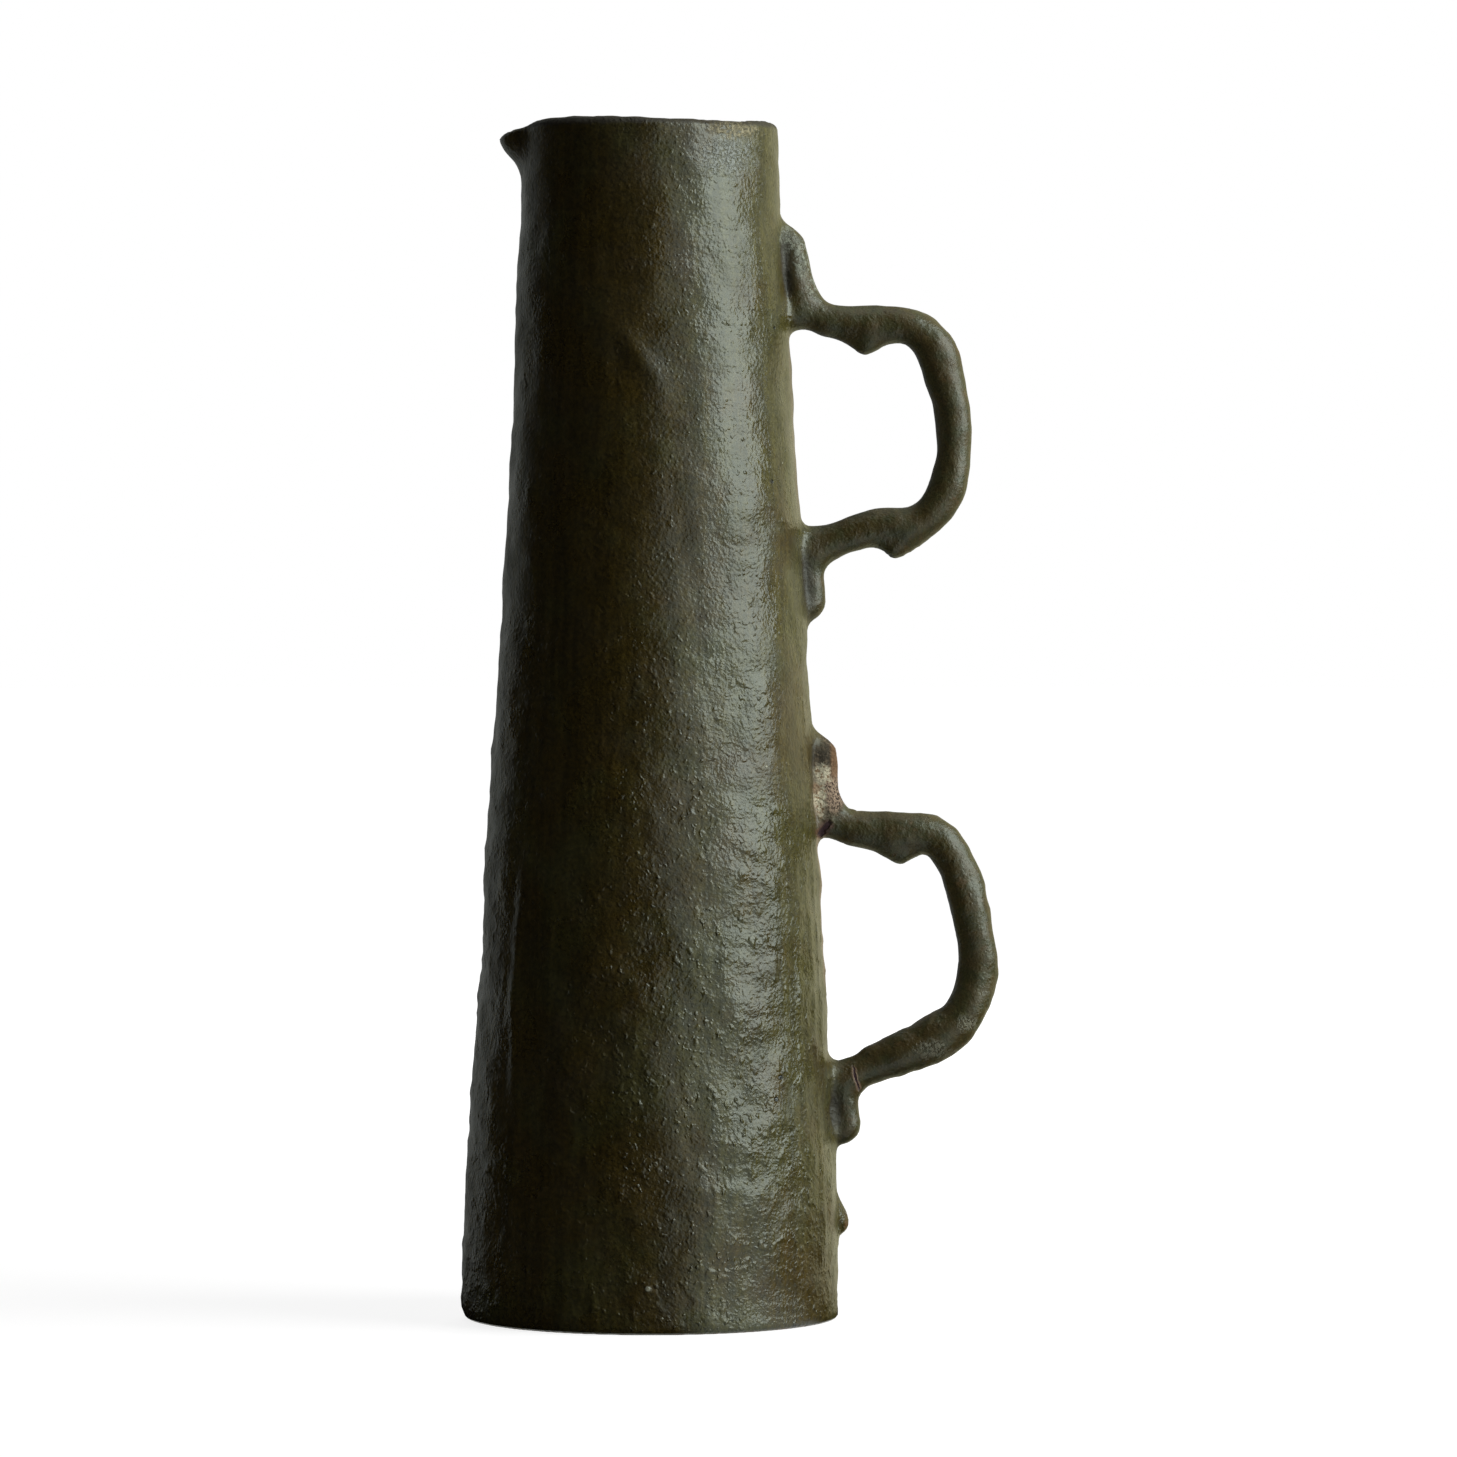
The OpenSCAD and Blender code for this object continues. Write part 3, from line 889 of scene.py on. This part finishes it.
def make_patch_group():
    """A ragged patch round a place, as a mask."""
    n, start, end = group(
        "Ragged patch",
        [("Vector", "Vector", None), ("Place", "Vector", (0, 0, 0)), ("Reach", "Vector", (0.01, 0.01, 0.01)),
         ("Ragged", "Float", 0.5), ("Grain", "Float", 0.004), ("Soft", "Float", 0.25)],
        ["Mask"])
    off = n.vector("DIVIDE", n.vector("SUBTRACT", start["Vector"], start["Place"]), start["Reach"])
    rag = n.noise(n.vector("DIVIDE", start["Vector"], start["Grain"]), 1.0, 3.0, 0.6)
    edge = (rag - 0.5) * (start["Ragged"] * 2.0) + n.vector("LENGTH", off)
    n.feed(end["Mask"], 1.0 - n.fade(edge, 1.0 - start["Soft"], start["Soft"] + 1.0))


def make_crack_group():
    """A thin wandering crack between two heights at a place, as masks for its gap and its pale edge."""
    n, start, end = group(
        "Fine crack",
        [("Vector", "Vector", None), ("Place", "Vector", (0, 0, 0)), ("Along", "Vector", (0, 0, 1)),
         ("Half length", "Float", 0.005), ("Width", "Float", 0.0004), ("Edge", "Float", 0.0008)],
        ["Gap", "Lip"])
    off = n.vector("SUBTRACT", start["Vector"], start["Place"])
    along = n.vector("DOT_PRODUCT", off, start["Along"])
    x, y = n.split(n.vector("SUBTRACT", off, n.vector("SCALE", start["Along"], scale=along)))[:2]
    wander = n.noise(n.vector("DIVIDE", start["Vector"], (0.003, 0.003, 0.003)), 1.0)
    across = n.math("ABSOLUTE", (wander - 0.5) * 0.0016 + x)
    ends = n.fade(n.math("ABSOLUTE", along) / start["Half length"], 0.6, 1.0)
    shown = (1.0 - ends) * n.fade(y, 0.012, 0.008)
    n.feed(end["Gap"], shown * n.fade(across / start["Width"], 1.3, 0.6))
    n.feed(end["Lip"], shown * n.fade(across / start["Edge"], 1.4, 0.6))


def new_material(name):
    material = bpy.data.materials.new(name)
    material.use_nodes = True
    return material, Nodes(material.node_tree)


# The glaze

# The largest pinholes and pale specks of the side that shows, in metres
PINHOLES = ((0.0479, -0.0327, 0.3360), (0.0499, -0.0529, 0.0915), (0.0515, -0.0506, 0.1000))
PALE_SPECKS = ((-0.0008, -0.0755, 0.0183),)


class Coat:
    """The glaze while it is laid: its colour, roughness, height and bare places so far."""

    def __init__(self, n, look):
        self.n, self.look = n, look
        self.here = n.here()
        self.x, self.y, self.z = n.split(self.here)
        self.thin, self.coil, self.crease = n.mark("thin"), n.mark("coil"), n.mark("crease")
        self.ragged = n.noise(self.here, 260.0, 4.0, 0.65)
        self.crumbs = n.fade(n.noise(self.here, 620.0, 4.0, 0.7), 0.40, 0.60)
        self.colour = look.olive
        self.rough = n.fade(n.noise(self.here, 38.0, 4.0, 0.65), 0.34, 0.66, 0.25, 0.38)
        self.height = 0.0
        self.dull = 0.0

    def paint(self, mask, colour):
        self.colour = self.n.mix(mask, self.colour, colour)

    def patch(self, place, reach, ragged, grain, soft):
        return placed(self.n, "Ragged patch", {
            "Vector": self.here, "Place": place, "Reach": reach, "Ragged": ragged, "Grain": grain,
            "Soft": soft})["Mask"]

    def specks(self, spacing, size, share, seed, uneven=0.2, wanted="Mask"):
        return placed(self.n, "Scattered specks", {
            "Vector": self.here, "Spacing": spacing, "Size": size, "Share": share, "Seed": seed,
            "Uneven": uneven})[wanted]

    def crack(self, place, along, half, width, edge):
        return placed(self.n, "Fine crack", {
            "Vector": self.here, "Place": place, "Along": along, "Half length": half, "Width": width,
            "Edge": edge})


def lay_skin(coat):
    """Orange peel, crowded pimples, faint rings from the wheel high up, and the coils' knots."""
    n, here, coil = coat.n, coat.here, coat.coil
    low = n.fade(coat.z, 0.36, 0.10)
    skin = placed(n, "Orange peel", {
        "Vector": here, "Size": 0.0014, "Grain height": 0.00026,
        "Bump height": low * 0.00018 + 0.00018, "Wide height": low * 0.00030 + 0.00014})["Height"]
    rings = n.noise(n.vector("MULTIPLY", here, (70.0, 70.0, 260.0)), 1.0)
    skin += rings * n.fade(coat.z, 0.28, 0.38, 0.00012, 0.00048)
    small = coat.specks(0.0034, 0.0011, 0.5, 1.9, 0.35, "Dome") * (low * 0.00010 + 0.00016)
    large = coat.specks(0.0075, 0.0022, 0.45, 7.3, 0.35, "Dome") * (low * 0.00026 + 0.00014)
    crowd = n.fade(n.noise(here, 55.0), 0.40, 0.62, 0.30, 1.0)
    knots = n.noise(here, 240.0, 3.0, 0.6) * 0.0004 + n.noise(here, 1000.0, 2.0, 0.6) * 0.00016
    coat.height = skin * n.fade(coil, 0.0, 1.0, 1.0, 0.55)
    coat.height += crowd * (small + large) * n.fade(coil, 0.0, 1.0, 1.0, 0.5) + coil * knots
    coat.rough += coil * 0.08


def lay_colour(coat):
    """Olive with brown clouds and thin grey-green and warm films; on the -X side, away from the key lamp,
    browner, darker and with less film, which is painted shade.
    """
    n, here = coat.n, coat.here
    # front is 1 on the -X side, away from the key lamp; the browning, darkening and thinner film that it
    # drives are painted shade
    front = n.fade(coat.x, 0.032, -0.004)
    clouds = n.noise(here, 24.0, 4.0, 0.62, 0.4) + front * 0.12
    coat.paint(n.fade(clouds, 0.42, 0.66), coat.look.brown)
    film = n.fade(n.noise(here, 62.0, 4.0, 0.65), 0.48, 0.70)
    coat.paint(film * n.fade(front, 0.0, 1.0, 0.34, 0.12), coat.look.green)
    warm = n.noise(n.vector("ADD", here, (0.31, 0.17, 0.53)), 74.0, 4.0, 0.65)
    coat.paint(n.fade(warm, 0.52, 0.72) * 0.22, (0.090, 0.056, 0.028))
    upright = n.noise(n.vector("MULTIPLY", here, (260.0, 260.0, 15.0)), 1.0, 3.0, 0.6)
    mottle = n.fade(n.noise(here, 620.0, 3.0, 0.65), 0.30, 0.72, 0.66, 1.28)
    # the front factor here is painted shade: darker away from the key lamp
    mottle *= n.fade(upright, 0.32, 0.70, 0.80, 1.24) * n.fade(front, 0.0, 1.0, 1.0, 0.86)
    coat.colour = n.vector("SCALE", coat.colour, scale=mottle)
    rolled = n.fade(n.noise(here, 170.0, 3.0, 0.6), 0.40, 0.62)
    coat.paint(coat.coil * 0.62, n.mix(rolled, (0.066, 0.041, 0.008), (0.044, 0.041, 0.009)))


def lay_edges(coat):
    """Brown where the glaze breaks over edges, thorns and ends; a dark line over the rim and painted shade
    in the creases.
    """
    n = coat.n
    breaks = n.fade(coat.thin * 0.6 + coat.ragged * 0.9, 0.78, 1.08)
    ridges = n.fade(n.noise(coat.here, 150.0, 4.0, 0.7), 0.60, 0.76)
    breaks = n.most(breaks, coat.coil * ridges * 0.65)
    coat.paint(breaks * 0.7, coat.look.rust)
    # painted shade in the creases where a coil meets the wall, with a dark line along the top of the rim
    dark = n.most(coat.crease, n.fade(coat.ragged * 0.003 + coat.z, 0.4782, 0.4802))
    coat.paint(dark * 0.85, coat.look.rim_line_and_crease_shade)
    coat.rough += dark * 0.28 + breaks * 0.10


def lay_streaks(coat):
    """Thin streaks of bare, stained clay down the wall between the ends of each handle."""
    n = coat.n
    side = n.math("ARCTAN2", coat.x, coat.y * -1.0)
    aside = n.math("ABSOLUTE", side - 0.5 * math.pi)
    streak = n.fade(coat.ragged * 0.10 + aside, 0.20, 0.13) * (1.0 - coat.coil)
    lower = n.fade(coat.z, 0.118, 0.150) * n.fade(coat.z, 0.216, 0.204)
    upper = n.fade(coat.z, 0.315, 0.335) * n.fade(coat.z, 0.400, 0.390, 0.0, 0.4)
    coat.paint(streak * n.most(lower, upper) * 0.75, (0.30, 0.19, 0.12))


def lay_pale_patches(coat):
    """A grainy crust over a pitted patch at the rim, flecks on the upper end, blotches on the lower arm."""
    n, patch = coat.n, coat.patch
    pits = n.fade(n.noise(coat.here, 800.0, 2.0, 0.6, 0.6), 0.42, 0.56)
    cool = patch((0.031, -0.042, 0.4655), (0.0125, 0.02, 0.0075), 0.8, 0.006, 0.5) * pits
    crusty = patch((0.034, -0.0395, 0.4755), (0.0105, 0.02, 0.0034), 0.8, 0.004, 0.4) * coat.crumbs
    coat.paint(cool * 0.55, (0.36, 0.40, 0.37))
    coat.paint(crusty * 0.80, (0.34, 0.30, 0.17))
    flaked = n.most(patch((0.0552, -0.006, 0.4335), (0.0034, 0.02, 0.0050), 0.8, 0.003, 0.4),
                    patch((0.0604, -0.006, 0.4270), (0.0032, 0.02, 0.0080), 0.8, 0.003, 0.4),
                    patch((0.0648, -0.006, 0.4165), (0.0028, 0.02, 0.0066), 0.8, 0.003, 0.4))
    flaked *= n.fade(n.noise(coat.here, 430.0, 4.0, 0.7), 0.46, 0.58)
    coat.paint(flaked * 0.68, (0.31, 0.34, 0.26))
    blotches = n.most(patch((0.1128, -0.006, 0.1085), (0.0065, 0.008, 0.0040), 0.8, 0.004, 0.4),
                      patch((0.1268, -0.006, 0.1187), (0.0036, 0.008, 0.0034), 0.8, 0.004, 0.4)) * pits
    coat.paint(blotches * 0.45, coat.look.crust)
    pale = n.most(blotches, flaked, cool, crusty)
    coat.rough += pale * 0.25
    coat.height += pale * 0.00022


def lay_bare_root(coat):
    """Bare clay at the lower handle's upper end: dark stain, pale crust, pitted pink, an orange edge and
    painted shade in a recess.
    """
    n, patch = coat.n, coat.patch
    bare = patch((0.0712, 0.0, 0.2160), (0.0082, 0.012, 0.0185), 0.35, 0.004, 0.15)
    deep_pits = n.fade(n.noise(coat.here, 1050.0, 3.0, 0.7), 0.42, 0.54)
    pink = n.mix(deep_pits, (0.055, 0.030, 0.018), (0.50, 0.37, 0.25))
    stain = n.mix(coat.crumbs, (0.070, 0.048, 0.024), (0.26, 0.20, 0.12))
    stain = n.mix(patch((0.0738, 0.0, 0.2120), (0.0060, 0.012, 0.0085), 0.6, 0.003, 0.3), stain, pink)
    cream = n.most(patch((0.0684, 0.0, 0.2190), (0.0040, 0.012, 0.0050), 0.6, 0.0025, 0.3),
                   patch((0.0672, 0.0, 0.2075), (0.0034, 0.012, 0.0125), 0.5, 0.0025, 0.3))
    crust = n.fade(n.noise(coat.here, 700.0, 3.0, 0.7), 0.38, 0.54)
    stain = n.mix(cream, stain, n.mix(crust, (0.30, 0.18, 0.07), (0.98, 0.92, 0.66)))
    # painted shade in the recess by the coil's end
    recess_shade = patch((0.0696, 0.0, 0.2268), (0.0030, 0.012, 0.0048), 1.2, 0.0016, 0.5)
    stain = n.mix(recess_shade * 0.75, stain, (0.036, 0.027, 0.014))
    orange = n.most(n.fade(coat.x, 0.0712, 0.0730) * n.fade(coat.z, 0.2150, 0.2190),
                    patch((0.0660, 0.0, 0.2135), (0.0022, 0.012, 0.0024), 0.5, 0.003, 0.3))
    stain = n.mix(orange * 0.70, stain, (0.29, 0.145, 0.055))
    coat.paint(bare, stain)
    coat.height += bare * (coat.crumbs + deep_pits * 0.7) * 0.00040
    coat.dull = bare


def lay_cracks(coat):
    """Cracks of the lower handle: dark in its upper armpit, fine and pale-edged at its lower root."""
    armpit = coat.crack((0.0696, -0.006, 0.1968), (0.62, 0.0, 0.785), 0.0046, 0.0008, 0.0017)
    root = coat.crack((0.0822, -0.006, 0.0965), (-0.25, 0.0, 0.968), 0.0060, 0.0004, 0.0009)
    gap = coat.n.most(armpit["Gap"], root["Gap"])
    coat.paint(root["Lip"] * 0.75, (0.40, 0.27, 0.18))
    coat.paint(armpit["Lip"] * 0.6, (0.10, 0.03, 0.025))
    coat.paint(gap, coat.look.crack)
    coat.height -= gap * 0.0012
    coat.dull = coat.n.most(coat.dull, gap)


def lay_specks(coat):
    """Pale specks and pinholes, some in known places."""
    holes = coat.specks(0.030, 0.0009, 0.55, 3.7)
    specks = coat.specks(0.026, 0.0008, 0.5, 11.2)
    for place in PINHOLES:
        holes = coat.n.most(holes, coat.patch(place, (0.0009, 0.0030, 0.0009), 0.2, 0.001, 0.3))
    for place in PALE_SPECKS:
        specks = coat.n.most(specks, coat.patch(place, (0.0010, 0.0030, 0.0010), 0.3, 0.001, 0.3))
    coat.paint(specks, coat.look.crust)
    coat.paint(holes, (0.004, 0.003, 0.002))
    coat.height += specks * 0.0002 - holes * 0.0006


def glaze_material(look):
    """Olive-bronze satin glaze with all its faults."""
    material, n = new_material("olive_glaze")
    coat = Coat(n, look)
    for lay in (lay_skin, lay_colour, lay_edges, lay_streaks, lay_pale_patches, lay_bare_root,
                lay_cracks, lay_specks):
        lay(coat)
    rough = coat.rough * (1.0 - coat.dull) + coat.dull * 0.88
    shader = n.place("BsdfPrincipled", {"Base Color": coat.colour, "Roughness": rough, "IOR": 1.6,
                                        "Normal": n.bump(coat.height), "Specular Tint": (0.87, 1.0, 0.93)})
    n.place("OutputMaterial", {"Surface": shader[0]})
    return material


def clay_material(look):
    """Bare fired clay, for the underside."""
    material, n = new_material("bare_clay")
    here = n.here()
    peel = placed(n, "Orange peel", {
        "Vector": here, "Size": 0.0009, "Grain height": 0.00020, "Bump height": 0.00006,
        "Wide height": 0.00005})
    clouds = n.fade(n.noise(here, 30.0, 4.0, 0.6), 0.35, 0.65)
    colour = n.mix(clouds, look.clay, (0.24, 0.155, 0.10))
    fired = placed(n, "Scattered specks", {
        "Vector": here, "Spacing": 0.005, "Size": 0.0005, "Share": 0.5, "Seed": 2.0})["Mask"]
    colour = n.mix(fired, colour, (0.06, 0.035, 0.02))
    rough = n.fade(peel["Crest"], 0.0, 1.0, 0.9, 0.8)
    shader = n.place("BsdfPrincipled", {"Base Color": colour, "Roughness": rough,
                                        "Normal": n.bump(peel["Height"])})
    n.place("OutputMaterial", {"Surface": shader[0]})
    return material


# The studio


def seen_directly(n):
    """1 for rays from the camera, from mirrors and through glass."""
    rays = by_name(n.place("LightPath"))
    return n.most(rays["Is Camera Ray"], rays["Is Glossy Ray"], rays["Is Transmission Ray"])


def floor_material():
    """Pale floor that keeps the shadow and fades into the white room."""
    material, n = new_material("pale_floor")
    far = n.fade(n.vector("LENGTH", n.here()), 0.25, 1.6, 0.84, 1.0)
    glow = n.place("Emission", {"Color": (1, 1, 1), "Strength": seen_directly(n) * far})
    matt = n.place("BsdfDiffuse", {"Color": (0.36, 0.36, 0.36)})
    both = n.place("AddShader", {0: glow[0], 1: matt[0]})
    n.place("OutputMaterial", {"Surface": both[0]})
    return material


def drape_material():
    """Black cloth all round, pale and cool to the camera's right, grey behind and warmer right behind."""
    material, n = new_material("drape")
    x, y = n.split(n.vector("NORMALIZE", n.vector("MULTIPLY", n.here(), (1, 1, 0))))[:2]
    right = n.fade(x, -0.1, 0.4)
    behind = n.fade(right * 0.15 + y, 0.48, 0.67)
    tone = n.mix(right, (0.22, 0.23, 0.22), (0.72, 0.69, 0.48))
    turn = n.math("ARCTAN2", x, y * -1.0)
    beside = n.fade(turn, 0.12, 0.40) * n.fade(turn, 1.20, 0.95)
    front = n.mix(beside, (0.003, 0.003, 0.003), (0.68, 0.72, 0.78))
    glow = n.place("Emission", {"Color": n.mix(behind, front, tone), "Strength": 1.0})
    n.place("OutputMaterial", {"Surface": glow[0]})
    return material


def white_room(strength):
    """A white room to look at, whose light on the clay is dim and even."""
    world = bpy.data.worlds.new("white_room")
    world.use_nodes = True
    n = Nodes(world.node_tree)
    level = n.fade(seen_directly(n), 0.0, 1.0, strength, 1.0)
    light = n.place("Background", {"Color": (1, 1, 1), "Strength": level})
    n.place("OutputWorld", {"Surface": light[0]})
    bpy.context.scene.world = world


def aim(obj, target):
    obj.rotation_euler = (Vector(target) - obj.location).to_track_quat("-Z", "Y").to_euler()


def soft_lamp(name, place, target, width, tall, watts):
    lamp = bpy.data.lights.new(name, "AREA")
    lamp.shape, lamp.size, lamp.size_y = "RECTANGLE", width, tall
    lamp.energy = watts
    obj = added(name, lamp)
    obj.location = place
    aim(obj, target)
    return obj


def ground(name, radius, material, height=0.0, inner=0.0, wall=0.0, sides=96):
    """A round floor, or with wall a round screen that stands on it."""
    bm = bmesh.new()
    rings = [(inner, height), (radius, height)]
    if wall:
        rings.append((radius, height + wall))
    rows = []
    for r, z in rings:
        if r == 0:
            rows.append([bm.verts.new((0, 0, z))] * sides)
        else:
            rows.append([bm.verts.new((r * math.cos(a), r * math.sin(a), z))
                         for a in np.linspace(0, 2 * np.pi, sides, endpoint=False)])
    for low, high in zip(rows, rows[1:]):
        for i in range(sides):
            j = (i + 1) % sides
            corners = [low[i], high[i], high[j]] + ([low[j]] if low[j] is not low[i] else [])
            bm.faces.new(corners)
    mesh = bpy.data.meshes.new(name)
    bm.to_mesh(mesh)
    bm.free()
    mesh.materials.append(material)
    obj = added(name, mesh)
    return obj


# Operators


class PITCHER_OT_make_pitcher(bpy.types.Operator):
    """Builds the pitcher's clay and glazes it"""
    bl_idname = "pitcher.make_pitcher"
    bl_label = "Pitcher"

    def execute(self, context):
        pitcher = context.scene.pitcher
        for make in (make_peel_group, make_speck_group, make_patch_group, make_crack_group):
            make()
        obj = build_pitcher(pitcher)
        mesh = obj.data
        mesh.materials.append(glaze_material(pitcher.glaze))
        mesh.materials.append(clay_material(pitcher.glaze))
        under = [1 if f.center.z < 0.0006 and f.normal.z < -0.9 else 0 for f in mesh.polygons]
        mesh.polygons.foreach_set("material_index", under)
        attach(obj, "root")
        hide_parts("pitcher")
        return {"FINISHED"}


class PITCHER_OT_make_stage(bpy.types.Operator):
    """Sets up the floor, the white room, the lamps and the camera"""
    bl_idname = "pitcher.make_stage"
    bl_label = "Stage"

    def execute(self, context):
        studio = context.scene.pitcher.studio
        context.scene.view_settings.view_transform = "Standard"
        white_room(studio.room)
        ground("floor", 12.0, floor_material())
        drape = ground("drape", 2.6, drape_material(), height=0.0008, inner=0.0748, wall=7.0)
        drape.visible_camera = drape.visible_diffuse = False
        drape.visible_shadow = drape.visible_transmission = False

        soft_lamp("key", (1.25, -0.40, 0.88), (0, 0, 0.30), 1.12, 1.66, studio.key_power)
        back = soft_lamp("back", (-0.1, 2.0, 1.3), (0, 0, 0.25), 1.2, 1.2, studio.back_power)
        back.visible_glossy = False

        camera = bpy.data.cameras.new("camera")
        camera.sensor_width = 36
        obj = added("camera", camera)
        obj.location = (0.031, -3.150, 0.320)
        target = Vector((0.031, 0, 0.237))
        camera.lens = camera.sensor_width * (target - obj.location).length / studio.span
        aim(obj, target)
        context.scene.camera = obj
        return {"FINISHED"}


class PITCHER_PT_panel(bpy.types.Panel):
    """Lists the steps in the 3D view's sidebar"""
    bl_idname = "PITCHER_PT_panel"
    bl_label = "Twig Handle Pitcher"
    bl_space_type = "VIEW_3D"
    bl_region_type = "UI"
    bl_category = "Pitcher"

    def draw(self, context):
        column = self.layout.column()
        for operator in OPERATORS:
            column.operator(operator.bl_idname)
        for part in ("body", "lip", "coils", "upper", "lower", "drop", "skin", "glaze", "studio"):
            sizes = getattr(context.scene.pitcher, part)
            column.label(text=part.capitalize())
            for name in type(sizes).__annotations__:
                column.prop(sizes, name)


OPERATORS = (PITCHER_OT_make_pitcher, PITCHER_OT_make_stage)
CLASSES = (BodySizes, LipSizes, CoilSizes, UpperHandle, LowerHandle, DropSizes, SkinSizes, GlazeLook,
           Studio, PitcherSettings, *OPERATORS, PITCHER_PT_panel)


def register():
    for cls in CLASSES:
        bpy.utils.register_class(cls)
    bpy.types.Scene.pitcher = PointerProperty(type=PitcherSettings)


def unregister():
    del bpy.types.Scene.pitcher
    for cls in reversed(CLASSES):
        bpy.utils.unregister_class(cls)


def main():
    register()
    bpy.ops.pitcher.make_pitcher()
    bpy.ops.pitcher.make_stage()


if __name__ == "__main__":
    main()
